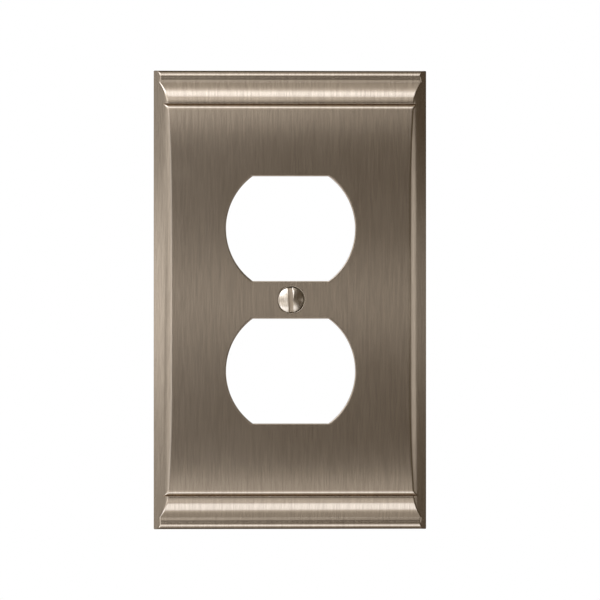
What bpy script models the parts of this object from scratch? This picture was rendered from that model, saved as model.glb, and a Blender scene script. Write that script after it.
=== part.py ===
"""One-gang wall plate for a duplex receptacle, with its centre screw and the screw's retaining washer.

Frame: metres, +X to the right and +Z up as the plate hangs, -Y out of the wall towards the viewer.
The origin is on the screw's axis, in the plane of the wall. Below, a height is a distance out from
the wall, so a height h lies at y = -h, and outlines are lists of (distance along, height) pairs.
"""

import math

import bmesh
import bpy
from mathutils import Matrix, Vector

MM = 0.001
INCH = 25.4 * MM

# Overall size of the cover plate
PLATE_WIDTH = 2.9375 * INCH
PLATE_HEIGHT = 4.9375 * INCH
CROWN_HEIGHT = 0.25 * INCH

# Left and right sides: upright rim, straight slope, then a rounded shoulder up to the crown
SLOPE_RUN = 2.6 * MM
SLOPE_ANGLE = math.radians(50)
SHOULDER_RADIUS = 5.27 * MM
SHOULDER_END_ANGLE = math.radians(22)

# Moulding along the top and the bottom, from the edge inwards: bead, ovolo, groove, field
BEAD_RADIUS = 1.75 * MM
BEAD_BACK_RUN = 1.5 * MM
BEAD_BACK_ANGLE = math.radians(12)
OVOLO_RADIUS = 8.6 * MM
OVOLO_ANGLE = math.radians(41)
CREST_LAND = 0.12 * MM
CREST_BELOW_FIELD = 0.1 * MM
GROOVE_DEPTH = 0.85 * MM
GROOVE_FALL = 0.18 * MM
GROOVE_FLOOR = 0.1 * MM
FIELD_LIP_RADIUS = 0.85 * MM
FIELD_DROP = 0.45 * MM
FIELD_POWER = 5

# Metal left by the hollow back, and the boss that carries the screw
SIDE_WALL = 2.0 * MM
ROOF_WALL = 2.1 * MM
BEAD_WALL = 1.95 * MM
GROOVE_WALL = 1.2 * MM
BOSS_STANDOFF = 0.5 * MM
BOSS_EDGE_CLEARANCE = 0.55 * MM

# Receptacle openings: a circle cut off by two flats, one above and one below a bridge
OPENING_RADIUS = 17.67 * MM
OPENING_FLATS = 28.6 * MM
BRIDGE = 10.3 * MM

# Screw: 6-32 unified thread, half an inch from the oval head's edge to the tip
THREAD_PITCH = INCH / 32
THREAD_MAJOR_RADIUS = 0.138 * INCH / 2
THREAD_DEPTH = 0.54 * THREAD_PITCH
THREAD_CREST = THREAD_PITCH / 8
THREAD_ROOT_LAND = THREAD_PITCH / 6
THREAD_RUNOUT_TURNS = 0.5
SCREW_LENGTH = 0.5 * INCH
NECK_LENGTH = 0.9 * MM
TIP_CHAMFER = 0.45 * MM
HEAD_RADIUS = 3.45 * MM
HEAD_ANGLE = math.radians(82)
HEAD_EDGE = 0.1 * MM
DOME_HEIGHT = 0.95 * MM
SLOT_WIDTH = 1.1 * MM
SLOT_DEPTH = 1.25 * MM
SLOT_TILT = math.radians(4.3)

# Clearance of the screw in the plate, and the washer on the screw
SCREW_HOLE_CLEARANCE = 0.2 * MM
HEAD_CLEARANCE = 0.17 * MM
WASHER_RADIUS = 4.0 * MM
WASHER_THICKNESS = 0.5 * MM
WASHER_CLEARANCE = 0.06 * MM
STRAP_ROOM = 1.35 * MM

# How finely curves are faceted, and how sharp an edge stays an edge in shading
ROUND_STEPS = 48
THREAD_STEPS_PER_TURN = 24
ARC_STEP = math.radians(7.5)
FIELD_STEPS = 12
SHARP_ANGLE = math.radians(20)

# Cutters and helpers run past the faces that they cut by this much
OVERRUN = 2 * MM


def clear_scene():
    for item in list(bpy.data.objects):
        bpy.data.objects.remove(item)


def finish_material(name, colour, roughness, metallic):
    """A Principled material of one colour."""
    made = bpy.data.materials.new(name)
    made.use_nodes = True
    shader = made.node_tree.nodes["Principled BSDF"]
    shader.inputs["Base Color"].default_value = (*colour, 1)
    shader.inputs["Roughness"].default_value = roughness
    shader.inputs["Metallic"].default_value = metallic
    return made


def add_object(name, bm):
    """Turns a bmesh into a named object in the scene, with its faces pointing out."""
    bmesh.ops.recalc_face_normals(bm, faces=bm.faces)
    mesh = bpy.data.meshes.new(name)
    bm.to_mesh(mesh)
    bm.free()
    made = bpy.data.objects.new(name, mesh)
    bpy.context.scene.collection.objects.link(made)
    return made


def combine(piece, other, operation):
    """Joins, cuts or intersects a piece with a helper, and removes the helper."""
    step = piece.modifiers.new(operation, "BOOLEAN")
    step.operation = operation
    step.solver = "EXACT"
    step.object = other
    graph = bpy.context.evaluated_depsgraph_get()
    result = bpy.data.meshes.new_from_object(piece.evaluated_get(graph), depsgraph=graph)
    piece.modifiers.clear()
    piece.data = result
    bpy.data.objects.remove(other)


def finish(piece, material):
    """Gives a piece its material, and smooth shading up to its real edges."""
    piece.data.materials.clear()
    piece.data.materials.append(material)
    piece.data.shade_smooth()
    piece.data.set_sharp_from_angle(angle=SHARP_ANGLE)


def arc(centre, radius, start, end):
    """Points on an arc about centre, from one angle to another, both ends included."""
    steps = max(2, math.ceil(abs(end - start) / ARC_STEP))
    angles = [start + (end - start) * i / steps for i in range(steps + 1)]
    return [(centre[0] + radius * math.cos(a), centre[1] + radius * math.sin(a)) for a in angles]


def mirrored(points):
    """An outline from one edge to the middle, completed by its mirror image."""
    return points + [(-along, height) for along, height in reversed(points)]


def prism(name, corners, sweep):
    """A closed outline of vectors, extruded along the sweep."""
    bm = bmesh.new()
    base = bm.faces.new([bm.verts.new(corner) for corner in corners])
    grown = bmesh.ops.extrude_face_region(bm, geom=[base])
    moved = [item for item in grown["geom"] if isinstance(item, bmesh.types.BMVert)]
    bmesh.ops.translate(bm, verts=moved, vec=sweep)
    return add_object(name, bm)


def prism_across(name, outline):
    """An outline drawn up the plate, swept across its whole width and past it."""
    reach = PLATE_WIDTH / 2 + OVERRUN
    corners = [Vector((-reach, -height, along)) for along, height in outline]
    return prism(name, corners, Vector((2 * reach, 0, 0)))


def prism_up(name, outline):
    """An outline drawn across the plate, swept up its whole height and past it."""
    reach = PLATE_HEIGHT / 2 + OVERRUN
    corners = [Vector((along, -height, -reach)) for along, height in outline]
    return prism(name, corners, Vector((0, 0, 2 * reach)))


def prism_out(name, outline):
    """An outline of (x, z) points, swept out from behind the plate to in front of it."""
    corners = [Vector((x, OVERRUN, z)) for x, z in outline]
    return prism(name, corners, Vector((0, -CROWN_HEIGHT - 2 * OVERRUN, 0)))


def turned(name, profile, ring=False):
    """Spins a profile of (radius, height) points about the screw's axis.

    The profile starts and ends on the axis, unless it is the closed section of a ring.
    """
    bm = bmesh.new()
    points = [bm.verts.new((radius, -height, 0)) for radius, height in profile]
    ends = points[1:] + points[:1] if ring else points[1:]
    edges = [bm.edges.new(pair) for pair in zip(points, ends)]
    bmesh.ops.spin(
        bm,
        geom=points + edges,
        cent=(0, 0, 0),
        axis=(0, 1, 0),
        angle=math.tau,
        steps=ROUND_STEPS,
        use_merge=True,
    )
    bmesh.ops.remove_doubles(bm, verts=bm.verts, dist=1e-7)
    return add_object(name, bm)


# Outside of the cover plate


def slope_rise():
    return SLOPE_RUN * math.tan(SLOPE_ANGLE)


def rim_height():
    """The upright rim takes what the slope and the shoulder leave of the crown's height."""
    shoulder_rise = SHOULDER_RADIUS * (math.cos(SHOULDER_END_ANGLE) - math.cos(SLOPE_ANGLE))
    return CROWN_HEIGHT - slope_rise() - shoulder_rise


def side_outline():
    """The plate cut across: rim, slope and shoulder on both sides, left open above the crown."""
    edge = -PLATE_WIDTH / 2
    centre = (
        edge + SLOPE_RUN + SHOULDER_RADIUS * math.sin(SLOPE_ANGLE),
        rim_height() + slope_rise() - SHOULDER_RADIUS * math.cos(SLOPE_ANGLE),
    )
    upright = math.pi / 2
    shoulder = arc(centre, SHOULDER_RADIUS, upright + SLOPE_ANGLE, upright + SHOULDER_END_ANGLE)
    top_at, top = shoulder[-1]
    beyond = (top_at + OVERRUN, top + OVERRUN * math.tan(SHOULDER_END_ANGLE))
    return mirrored([(edge, 0), (edge, rim_height()), *shoulder, beyond])


def field_height():
    """Height of the field where it meets the grooves."""
    return CROWN_HEIGHT - FIELD_DROP


def bead_height():
    """The bead's crest, set so that the ovolo above it ends just below the field."""
    crest = field_height() - CREST_BELOW_FIELD
    ovolo_rise = OVOLO_RADIUS * (1 - math.cos(OVOLO_ANGLE))
    bead_fall = BEAD_BACK_RUN * math.tan(BEAD_BACK_ANGLE / 2)
    return crest - ovolo_rise + bead_fall


def bead():
    """Quarter round up from the plate's edge, then a shallow fall behind the bead's crest."""
    crest_at = BEAD_RADIUS - PLATE_HEIGHT / 2
    upright = math.pi / 2
    front = arc((crest_at, bead_height() - BEAD_RADIUS), BEAD_RADIUS, math.pi, upright)
    back_radius = BEAD_BACK_RUN / math.sin(BEAD_BACK_ANGLE)
    back_centre = (crest_at, bead_height() - back_radius)
    back = arc(back_centre, back_radius, upright, upright - BEAD_BACK_ANGLE)
    return front + back[1:]


def ovolo():
    """The convex moulding that starts steep behind the bead and levels out at its crest."""
    start_at, start = bead()[-1]
    centre = (
        start_at + OVOLO_RADIUS * math.sin(OVOLO_ANGLE),
        start - OVOLO_RADIUS * math.cos(OVOLO_ANGLE),
    )
    upright = math.pi / 2
    return arc(centre, OVOLO_RADIUS, upright + OVOLO_ANGLE, upright)[1:]


def groove():
    """The steep-sided groove between the ovolo's crest and the field."""
    crest_at, crest = ovolo()[-1]
    floor = field_height() - GROOVE_DEPTH
    floor_at = crest_at + CREST_LAND + GROOVE_FALL
    return [(crest_at + CREST_LAND, crest), (floor_at, floor), (floor_at + GROOVE_FLOOR, floor)]


def field():
    """The rounded lip out of the groove, then the bowed field up to the middle of the plate."""
    groove_end = groove()[-1][0]
    start_at = groove_end + FIELD_LIP_RADIUS
    centre = (start_at, field_height() - FIELD_LIP_RADIUS)
    first_slope = math.atan(FIELD_POWER * FIELD_DROP / -start_at)
    lip = arc(centre, FIELD_LIP_RADIUS, math.pi, math.pi / 2 + first_slope)
    rest = []
    for i in range(1, FIELD_STEPS):
        from_middle = 1 - (i / FIELD_STEPS) ** 2
        rest.append((start_at * from_middle, CROWN_HEIGHT - FIELD_DROP * from_middle**FIELD_POWER))
    return lip + rest


def moulding_outline():
    """The plate cut from bottom to top: both mouldings and the bowed field between them."""
    edge = -PLATE_HEIGHT / 2
    return mirrored([(edge, 0), *bead(), *ovolo(), *groove(), *field()])


# The hollow back


def roof_height():
    return CROWN_HEIGHT - ROOF_WALL


def cavity_side_outline():
    """Inner faces of the left and right sides, their slopes parallel to those outside."""
    wall_at = SIDE_WALL - PLATE_WIDTH / 2
    slope_start = rim_height() + SIDE_WALL * (math.tan(SLOPE_ANGLE) - 1 / math.cos(SLOPE_ANGLE))
    top = CROWN_HEIGHT + OVERRUN
    top_at = wall_at + (top - slope_start) / math.tan(SLOPE_ANGLE)
    return mirrored([(wall_at, -OVERRUN), (wall_at, slope_start), (top_at, top)])


def cavity_moulding_outline():
    """Inner faces of the top and bottom: a step under the bead, a slope under the ovolo, the roof."""
    wall_at = SIDE_WALL - PLATE_HEIGHT / 2
    step = bead_height() - BEAD_WALL
    step_at = bead()[-1][0] + BEAD_WALL / 2
    under_groove = field_height() - GROOVE_DEPTH - GROOVE_WALL
    crest_at = ovolo()[-1][0]
    field_at = field()[0][0] + FIELD_LIP_RADIUS
    points = [
        (wall_at, -OVERRUN),
        (wall_at, step),
        (step_at, step),
        (crest_at, under_groove),
        (field_at, under_groove),
        (field_at + ROOF_WALL, roof_height()),
    ]
    return mirrored(points)


def boss():
    """The round pad inside the bridge that the screw passes through, up into the roof."""
    radius = BRIDGE / 2 - BOSS_EDGE_CLEARANCE
    back = roof_height() - BOSS_STANDOFF
    front = (roof_height() + CROWN_HEIGHT) / 2
    return turned("boss", [(0, front), (radius, front), (radius, back), (0, back)])


# Holes through the plate


def opening_outline(side):
    """One receptacle opening as (x, z) points, above the bridge for side 1 or below it for -1."""
    middle = side * (BRIDGE + OPENING_FLATS) / 2
    reach = math.asin(OPENING_FLATS / 2 / OPENING_RADIUS)
    right = arc((0, middle), OPENING_RADIUS, -reach, reach)
    left = arc((0, middle), OPENING_RADIUS, math.pi - reach, math.pi + reach)
    return right + left


def cone_depth(wide, narrow):
    """How deep a cone of the head's angle narrows from one radius to another."""
    return (wide - narrow) / math.tan(HEAD_ANGLE / 2)


def screw_hole():
    """Clearance hole and countersink, whose cone is parallel to that of the screw's head."""
    mouth = HEAD_RADIUS + HEAD_CLEARANCE
    hole = THREAD_MAJOR_RADIUS + SCREW_HOLE_CLEARANCE
    front = CROWN_HEIGHT + DOME_HEIGHT
    wide = mouth + DOME_HEIGHT * math.tan(HEAD_ANGLE / 2)
    profile = [
        (0, front),
        (wide, front),
        (hole, CROWN_HEIGHT - cone_depth(mouth, hole)),
        (hole, 0),
        (0, 0),
    ]
    return turned("screw_hole", profile)


def cover_plate():
    """The die-cast shell: mouldings crossed with side slopes, hollowed, then pierced."""
    plate = prism_across("cover_plate", moulding_outline())
    combine(plate, prism_up("sides", side_outline()), "INTERSECT")

    hollow = prism_across("hollow", cavity_moulding_outline())
    combine(hollow, prism_up("hollow_sides", cavity_side_outline()), "INTERSECT")
    combine(hollow, boss(), "DIFFERENCE")
    combine(plate, hollow, "DIFFERENCE")

    for side in (1, -1):
        combine(plate, prism_out("opening", opening_outline(side)), "DIFFERENCE")
    combine(plate, screw_hole(), "DIFFERENCE")
    return plate


# The screw and its washer


def core_radius():
    return THREAD_MAJOR_RADIUS - THREAD_DEPTH


def neck_end():
    """Height at which the plain neck under the head ends and the thread begins."""
    return CROWN_HEIGHT - HEAD_EDGE - cone_depth(HEAD_RADIUS, core_radius()) - NECK_LENGTH


def screw_profile():
    """Dome, edge and cone of the head, then the core down to its chamfered tip."""
    core = core_radius()
    dome_radius = (HEAD_RADIUS**2 + DOME_HEIGHT**2) / (2 * DOME_HEIGHT)
    half_dome = math.asin(HEAD_RADIUS / dome_radius)
    centre = (0, CROWN_HEIGHT + DOME_HEIGHT - dome_radius)
    dome = arc(centre, dome_radius, math.pi / 2, math.pi / 2 - half_dome)
    under_edge = CROWN_HEIGHT - HEAD_EDGE
    tip = CROWN_HEIGHT - SCREW_LENGTH
    return [
        (0, CROWN_HEIGHT + DOME_HEIGHT),
        *dome[1:],
        (HEAD_RADIUS, under_edge),
        (core, under_edge - cone_depth(HEAD_RADIUS, core)),
        (core, tip + TIP_CHAMFER),
        (core - TIP_CHAMFER, tip),
        (0, tip),
    ]


def thread():
    """The thread as one right-hand helical ridge, rooted inside the core, running out at both ends."""
    root = core_radius() - THREAD_DEPTH / 2
    first = CROWN_HEIGHT - SCREW_LENGTH + TIP_CHAMFER
    turns = (neck_end() - first) / THREAD_PITCH
    steps = round(turns * THREAD_STEPS_PER_TURN)
    half_base = (THREAD_PITCH - THREAD_ROOT_LAND) / 2
    bm = bmesh.new()
    sections = []
    for i in range(steps + 1):
        turn = turns * i / steps
        full = min(1, turn / THREAD_RUNOUT_TURNS, (turns - turn) / THREAD_RUNOUT_TURNS)
        crest = (root + core_radius()) / 2 * (1 - full) + THREAD_MAJOR_RADIUS * full
        middle = first + turn * THREAD_PITCH
        section = [
            (root, middle - half_base),
            (crest, middle - THREAD_CREST / 2),
            (crest, middle + THREAD_CREST / 2),
            (root, middle + half_base),
        ]
        across = Vector((math.cos(math.tau * turn), 0, math.sin(math.tau * turn)))
        corners = [across * radius - Vector((0, height, 0)) for radius, height in section]
        sections.append([bm.verts.new(corner) for corner in corners])
    for near, far in zip(sections, sections[1:]):
        for j in range(len(near)):
            k = (j + 1) % len(near)
            bm.faces.new((near[j], near[k], far[k], far[j]))
    bm.faces.new(sections[0])
    bm.faces.new(sections[-1])
    return add_object("thread", bm)


def slot():
    """A bar across the head, turned to the slot's lean."""
    floor = CROWN_HEIGHT + DOME_HEIGHT - SLOT_DEPTH
    depth = SLOT_DEPTH + OVERRUN
    bm = bmesh.new()
    bmesh.ops.create_cube(bm, size=1)
    bmesh.ops.scale(bm, vec=(SLOT_WIDTH, depth, 2 * HEAD_RADIUS + 2 * OVERRUN), verts=bm.verts)
    bmesh.ops.translate(bm, vec=(0, -floor - depth / 2, 0), verts=bm.verts)
    bmesh.ops.rotate(bm, matrix=Matrix.Rotation(-SLOT_TILT, 3, "Y"), verts=bm.verts)
    return add_object("slot", bm)


def mounting_screw():
    """The slotted oval-head machine screw, driven home in the plate."""
    screw = turned("mounting_screw", screw_profile())
    combine(screw, thread(), "UNION")
    combine(screw, slot(), "DIFFERENCE")
    return screw


def retaining_washer():
    """The thin washer on the thread behind the plate, clear of the receptacle's strap."""
    hole = THREAD_MAJOR_RADIUS + WASHER_CLEARANCE
    back = STRAP_ROOM
    front = STRAP_ROOM + WASHER_THICKNESS
    section = [(hole, back), (WASHER_RADIUS, back), (WASHER_RADIUS, front), (hole, front)]
    return turned("retaining_washer", section, ring=True)


def main():
    clear_scene()
    finish(cover_plate(), finish_material("satin_nickel", (0.52, 0.47, 0.40), 0.32, 1.0))
    finish(mounting_screw(), finish_material("screw_nickel", (0.60, 0.55, 0.48), 0.28, 1.0))
    finish(retaining_washer(), finish_material("vulcanised_fibre", (0.30, 0.07, 0.04), 0.75, 0.0))


main()
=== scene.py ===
"""Looks of a one-gang wall plate with moulded ends, its slotted screw and the screw's fibre washer.

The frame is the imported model's: metres, +X to the right, +Z up, -Y out of the wall, and the origin on
the screw's axis in the plane of the wall. A height is a distance out from the wall, so a height h lies
at y = -h. Profiles are arrays of (inset, height), the inset being measured inwards from an edge.
"""

import logging
import math
from dataclasses import dataclass
from enum import Enum

import bmesh
import bpy
import numpy as np
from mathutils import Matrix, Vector


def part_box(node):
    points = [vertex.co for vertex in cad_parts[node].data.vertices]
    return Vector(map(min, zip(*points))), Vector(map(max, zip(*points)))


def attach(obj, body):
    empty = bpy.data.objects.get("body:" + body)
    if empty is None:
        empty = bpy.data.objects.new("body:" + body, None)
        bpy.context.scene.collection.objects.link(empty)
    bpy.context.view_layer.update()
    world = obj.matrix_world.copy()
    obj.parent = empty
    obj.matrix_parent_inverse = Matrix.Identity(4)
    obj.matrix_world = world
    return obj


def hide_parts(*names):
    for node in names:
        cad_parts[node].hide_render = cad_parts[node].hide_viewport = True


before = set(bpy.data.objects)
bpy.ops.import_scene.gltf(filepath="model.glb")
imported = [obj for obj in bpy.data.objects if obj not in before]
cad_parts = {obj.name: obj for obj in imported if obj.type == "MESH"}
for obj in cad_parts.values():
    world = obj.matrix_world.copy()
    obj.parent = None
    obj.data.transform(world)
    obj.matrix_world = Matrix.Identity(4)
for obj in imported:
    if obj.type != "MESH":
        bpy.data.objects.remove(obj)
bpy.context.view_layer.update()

MM = 0.001

# Points closer than this are one point where two surfaces are sewn together
SEAM = 1e-7

# Profiles are walked in steps of this length before their corners are eased
PROFILE_STEP = 0.02 * MM

# At an edge of the plate, this much length and this much bend are each worth one grid line
LINE_STRIDE = 0.16 * MM
LINE_TURN = math.radians(6)

# The mix node's colour sockets, whose names it also gives to its other sockets
COLOUR_INPUTS = (6, 7)
COLOUR_OUTPUT = 2

log = logging.getLogger("wall_plate")


# Colour, nodes and meshes


def linear(hex_colour: str) -> tuple[float, float, float, float]:
    """Turns an sRGB hex colour into linear light.

    Args:
        hex_colour: Six hex digits, red first.

    Returns:
        Red, green, blue and an alpha of one.
    """
    channels = [int(hex_colour[i : i + 2], 16) / 255 for i in (0, 2, 4)]
    red, green, blue = [c / 12.92 if c <= 0.04045 else ((c + 0.055) / 1.055) ** 2.4 for c in channels]
    return red, green, blue, 1.0


def add_node(
    tree: bpy.types.NodeTree,
    kind: str,
    settings: dict[str, object] | None = None,
    values: dict[str | int, object] | None = None,
    links: dict[str | int, bpy.types.NodeSocket] | None = None,
) -> bpy.types.Node:
    """Adds a node with its settings, its fixed input values and its links.

    Args:
        tree: The node tree that the node joins.
        kind: Blender's name for the node's type.
        settings: Properties of the node itself.
        values: Fixed values, by input name or number.
        links: Output sockets of other nodes, by input name or number.

    Returns:
        The new node.
    """
    node = tree.nodes.new(kind)
    for name, value in (settings or {}).items():
        setattr(node, name, value)
    for name, value in (values or {}).items():
        node.inputs[name].default_value = value
    for name, socket in (links or {}).items():
        tree.links.new(socket, node.inputs[name])
    return node


def new_material(name: str) -> tuple[bpy.types.Material, bpy.types.NodeTree]:
    """Makes an empty node material.

    Args:
        name: What the finish is called in a workshop.

    Returns:
        The material and its node tree.
    """
    material = bpy.data.materials.new(name)
    material.use_nodes = True
    material.node_tree.nodes.clear()
    return material, material.node_tree


def share_of(tree: bpy.types.NodeTree, name: str) -> bpy.types.NodeSocket:
    """One of the shares that a skin's points carry, "edge" or "as_cast_and_shade"."""
    return add_node(tree, "ShaderNodeAttribute", {"attribute_name": name}).outputs["Fac"]


def grains(
    tree: bpy.types.NodeTree, size: tuple[float, ...], noise: dict[str, object], lean: float = 0
) -> bpy.types.NodeSocket:
    """Noise in the object's own space, with grains of a real size.

    Args:
        tree: The node tree that the noise joins.
        size: A grain's width, depth and length, in metres.
        noise: The noise's other values, by input name.
        lean: How far the grains lean from upright.

    Returns:
        The noise, from 0 to 1.
    """
    place = add_node(tree, "ShaderNodeTexCoord").outputs["Object"]
    mapping = {"Rotation": (0, lean, 0), "Scale": tuple(1 / length for length in size)}
    scaled = add_node(tree, "ShaderNodeMapping", values=mapping, links={"Vector": place})
    values = {"Scale": 1.0, **noise}
    links = {"Vector": scaled.outputs["Vector"]}
    return add_node(tree, "ShaderNodeTexNoise", values=values, links=links).outputs["Fac"]


def remap(
    tree: bpy.types.NodeTree,
    value: bpy.types.NodeSocket,
    source: tuple[float, float] = (0, 1),
    target: tuple[float, float] = (0, 1),
) -> bpy.types.NodeSocket:
    """Stretches one range over another, and holds what lies outside at its ends.

    Args:
        tree: The node tree that the node joins.
        value: What is stretched.
        source: The range that it comes from.
        target: The range that it goes to.

    Returns:
        The stretched value.
    """
    ends = {"From Min": source[0], "From Max": source[1], "To Min": target[0], "To Max": target[1]}
    return add_node(tree, "ShaderNodeMapRange", values=ends, links={"Value": value}).outputs["Result"]


def mix_values(
    tree: bpy.types.NodeTree,
    share: float | bpy.types.NodeSocket,
    first: float | bpy.types.NodeSocket,
    second: float | bpy.types.NodeSocket,
) -> bpy.types.NodeSocket:
    """Mixes two plain values.

    Args:
        tree: The node tree that the mix joins.
        share: How much of the second there is, from 0 to 1.
        first: A number, or a socket that gives one.
        second: Another.

    Returns:
        The mixed value.
    """
    given = {"Factor": share, "A": first, "B": second}
    links = {name: value for name, value in given.items() if isinstance(value, bpy.types.NodeSocket)}
    values = {name: value for name, value in given.items() if name not in links}
    return add_node(tree, "ShaderNodeMix", values=values, links=links).outputs["Result"]


def mix_colours(
    tree: bpy.types.NodeTree,
    share: bpy.types.NodeSocket,
    first: str | bpy.types.NodeSocket,
    second: str | bpy.types.NodeSocket,
) -> bpy.types.NodeSocket:
    """Mixes two colours.

    Args:
        tree: The node tree that the mix joins.
        share: How much of the second there is, from 0 to 1.
        first: A hex colour, or a socket that gives one.
        second: Another.

    Returns:
        The mixed colour.
    """
    mix = add_node(tree, "ShaderNodeMix", {"data_type": "RGBA"}, links={"Factor": share})
    for number, colour in zip(COLOUR_INPUTS, (first, second)):
        if isinstance(colour, str):
            mix.inputs[number].default_value = linear(colour)
        else:
            tree.links.new(colour, mix.inputs[number])
    return mix.outputs[COLOUR_OUTPUT]


def bumped(tree: bpy.types.NodeTree, height: bpy.types.NodeSocket, depth: float) -> bpy.types.NodeSocket:
    """The normal of a surface with a relief of so many metres from its lowest to its highest."""
    values = {"Strength": 1.0, "Distance": depth}
    return add_node(tree, "ShaderNodeBump", values=values, links={"Height": height}).outputs["Normal"]


def lay_surface(
    tree: bpy.types.NodeTree,
    values: dict[str, object],
    links: dict[str, bpy.types.NodeSocket] | None = None,
) -> None:
    """Gives a material its shader.

    Args:
        tree: The material's node tree.
        values: The shader's fixed values, by input name.
        links: What its other inputs come from.
    """
    shader = add_node(tree, "ShaderNodeBsdfPrincipled", values=values, links=links)
    add_node(tree, "ShaderNodeOutputMaterial", links={"Surface": shader.outputs["BSDF"]})


class Skin:
    """A closed skin sewn together from grids of points, each grid a surface of two parameters.

    A point is five numbers: x, y, z, how much it lies on an edge, and how much it is left as cast,
    which in the countersink also paints shade.
    """

    def __init__(self) -> None:
        """Starts with no surfaces."""
        self.points: list[np.ndarray] = []
        self.faces: list[np.ndarray] = []
        self.count = 0

    def add(self, grid: np.ndarray, hole: np.ndarray | None = None, closed: bool = False) -> None:
        """Adds one surface, a quad between each four neighbours on its grid.

        Args:
            grid: Points as (rows, columns, 5).
            hole: Cells to leave out, as (rows - 1, columns - 1) of true and false.
            closed: Whether the last column joins the first.
        """
        if closed:
            grid = np.concatenate([grid, grid[:, :1]], axis=1)
        rows, columns = grid.shape[:2]
        index = np.arange(rows * columns).reshape(rows, columns) + self.count
        quads = np.stack([index[:-1, :-1], index[:-1, 1:], index[1:, 1:], index[1:, :-1]], axis=-1)
        self.faces.append(quads[~hole] if hole is not None else quads.reshape(-1, 4))
        self.points.append(grid.reshape(-1, 5))
        self.count += rows * columns

    def sew(self, name: str, sharp_angle: float) -> bpy.types.Object:
        """Joins the surfaces where they meet, turns the faces outwards and makes the object.

        The grain map runs across the piece in U and up it in V, leaning a little with the depth
        so that it stays defined on upright walls.

        Args:
            name: The piece's name.
            sharp_angle: Faces that meet at a greater angle than this keep a crisp edge.

        Returns:
            The finished object, at the origin.
        """
        points = np.concatenate(self.points)
        mesh = bpy.data.meshes.new(name)
        mesh.from_pydata(points[:, :3].tolist(), [], np.concatenate(self.faces).tolist())
        for column, label in ((3, "edge"), (4, "as_cast_and_shade")):
            values = mesh.attributes.new(label, "FLOAT", "POINT")
            values.data.foreach_set("value", points[:, column].astype(np.float32))

        shaped = bmesh.new()
        shaped.from_mesh(mesh)
        bmesh.ops.remove_doubles(shaped, verts=shaped.verts, dist=SEAM)
        bmesh.ops.recalc_face_normals(shaped, faces=shaped.faces)
        shaped.to_mesh(mesh)
        shaped.free()

        place = np.empty(len(mesh.vertices) * 3, np.float32)
        mesh.vertices.foreach_get("co", place)
        corner = np.empty(len(mesh.loops), np.int32)
        mesh.loops.foreach_get("vertex_index", corner)
        x, y, z = place.reshape(-1, 3)[corner].T
        grain = mesh.uv_layers.new(name="grain")
        grain.data.foreach_set("uv", np.stack([x + y / 2, z + y / 2], axis=1).ravel())

        mesh.shade_smooth()
        mesh.set_sharp_from_angle(angle=sharp_angle)
        made = bpy.data.objects.new(name, mesh)
        bpy.context.scene.collection.objects.link(made)
        return made


def as_points(
    x: np.ndarray, z: np.ndarray, height: np.ndarray, edge: object = 0, cast: object = 0
) -> np.ndarray:
    """Stacks a plan, heights and the two shares into skin points.

    Args:
        x: Place across.
        z: Place up.
        height: Distance out from the wall.
        edge: Share of edge, from 0 to 1.
        cast: Share left as cast, from 0 to 1; in the countersink it paints shade.

    Returns:
        The points, one axis longer than the arrays and five numbers each.
    """
    return np.stack(np.broadcast_arrays(x, -np.asarray(height), z, edge, cast), axis=-1).astype(float)


# Profiles


def arc(
    centre: tuple[float, float], radius: float, start: float, end: float, count: int = 40
) -> np.ndarray:
    """Points round a centre: centre plus radius times the cosine and sine of evenly spread angles.

    Args:
        centre: Inset and height of the centre.
        radius: The arc's radius.
        start: First angle, in radians.
        end: Last angle.
        count: How many points.

    Returns:
        The points as (count, 2).
    """
    angle = np.linspace(start, end, count)
    return np.stack([centre[0] + radius * np.cos(angle), centre[1] + radius * np.sin(angle)], axis=1)


def distance_along(points: np.ndarray) -> np.ndarray:
    """Length of a line of points up to each of them."""
    return np.concatenate([[0], np.cumsum(np.hypot(*np.diff(points, axis=0).T))])


def eased(points: np.ndarray, width: float) -> np.ndarray:
    """Rounds a profile's corners, as casting, buffing and plating do.

    The profile is walked in equal small steps, and each place becomes the average of its neighbours
    along the profile, weighted by a bell curve of the given width. The ends stay where they are.

    Args:
        points: Profile as (n, 2).
        width: Full width of the bell curve.

    Returns:
        The eased profile, in steps of about PROFILE_STEP.
    """
    length = distance_along(points)
    walked = np.linspace(0, length[-1], round(length[-1] / PROFILE_STEP) + 1)
    even = np.stack([np.interp(walked, length, points[:, axis]) for axis in (0, 1)], axis=1)
    half = round(width / PROFILE_STEP / 2)
    bell = np.hanning(2 * half + 3)[1:-1]
    bell = bell / bell.sum()
    before = 2 * even[0] - even[half:0:-1]
    after = 2 * even[-1] - even[-2 : -half - 2 : -1]
    longer = np.concatenate([before, even, after])
    return np.stack([np.convolve(longer[:, axis], bell, "valid") for axis in (0, 1)], axis=1)


def crowded(points: np.ndarray, count: int) -> np.ndarray:
    """Picks places on a profile that crowd together where it bends.

    Each step between picked places covers the same sum of length over LINE_STRIDE and bend over
    LINE_TURN.

    Args:
        points: Finely stepped profile as (n, 2).
        count: How many steps.

    Returns:
        The picked places as (count + 1, 2).
    """
    run = np.diff(points, axis=0)
    heading = np.unwrap(np.arctan2(run[:, 1], run[:, 0]))
    bend = np.abs(np.diff(heading, prepend=heading[0]))
    weight = np.concatenate([[0], np.cumsum(np.hypot(*run.T) / LINE_STRIDE + bend / LINE_TURN)])
    picked = np.linspace(0, weight[-1], count + 1)
    return np.stack([np.interp(picked, weight, points[:, axis]) for axis in (0, 1)], axis=1)


@dataclass(frozen=True)
class Zone:
    """A stretch of grid lines that ends at an inset and holds so many steps."""

    end: float
    steps: int


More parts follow.
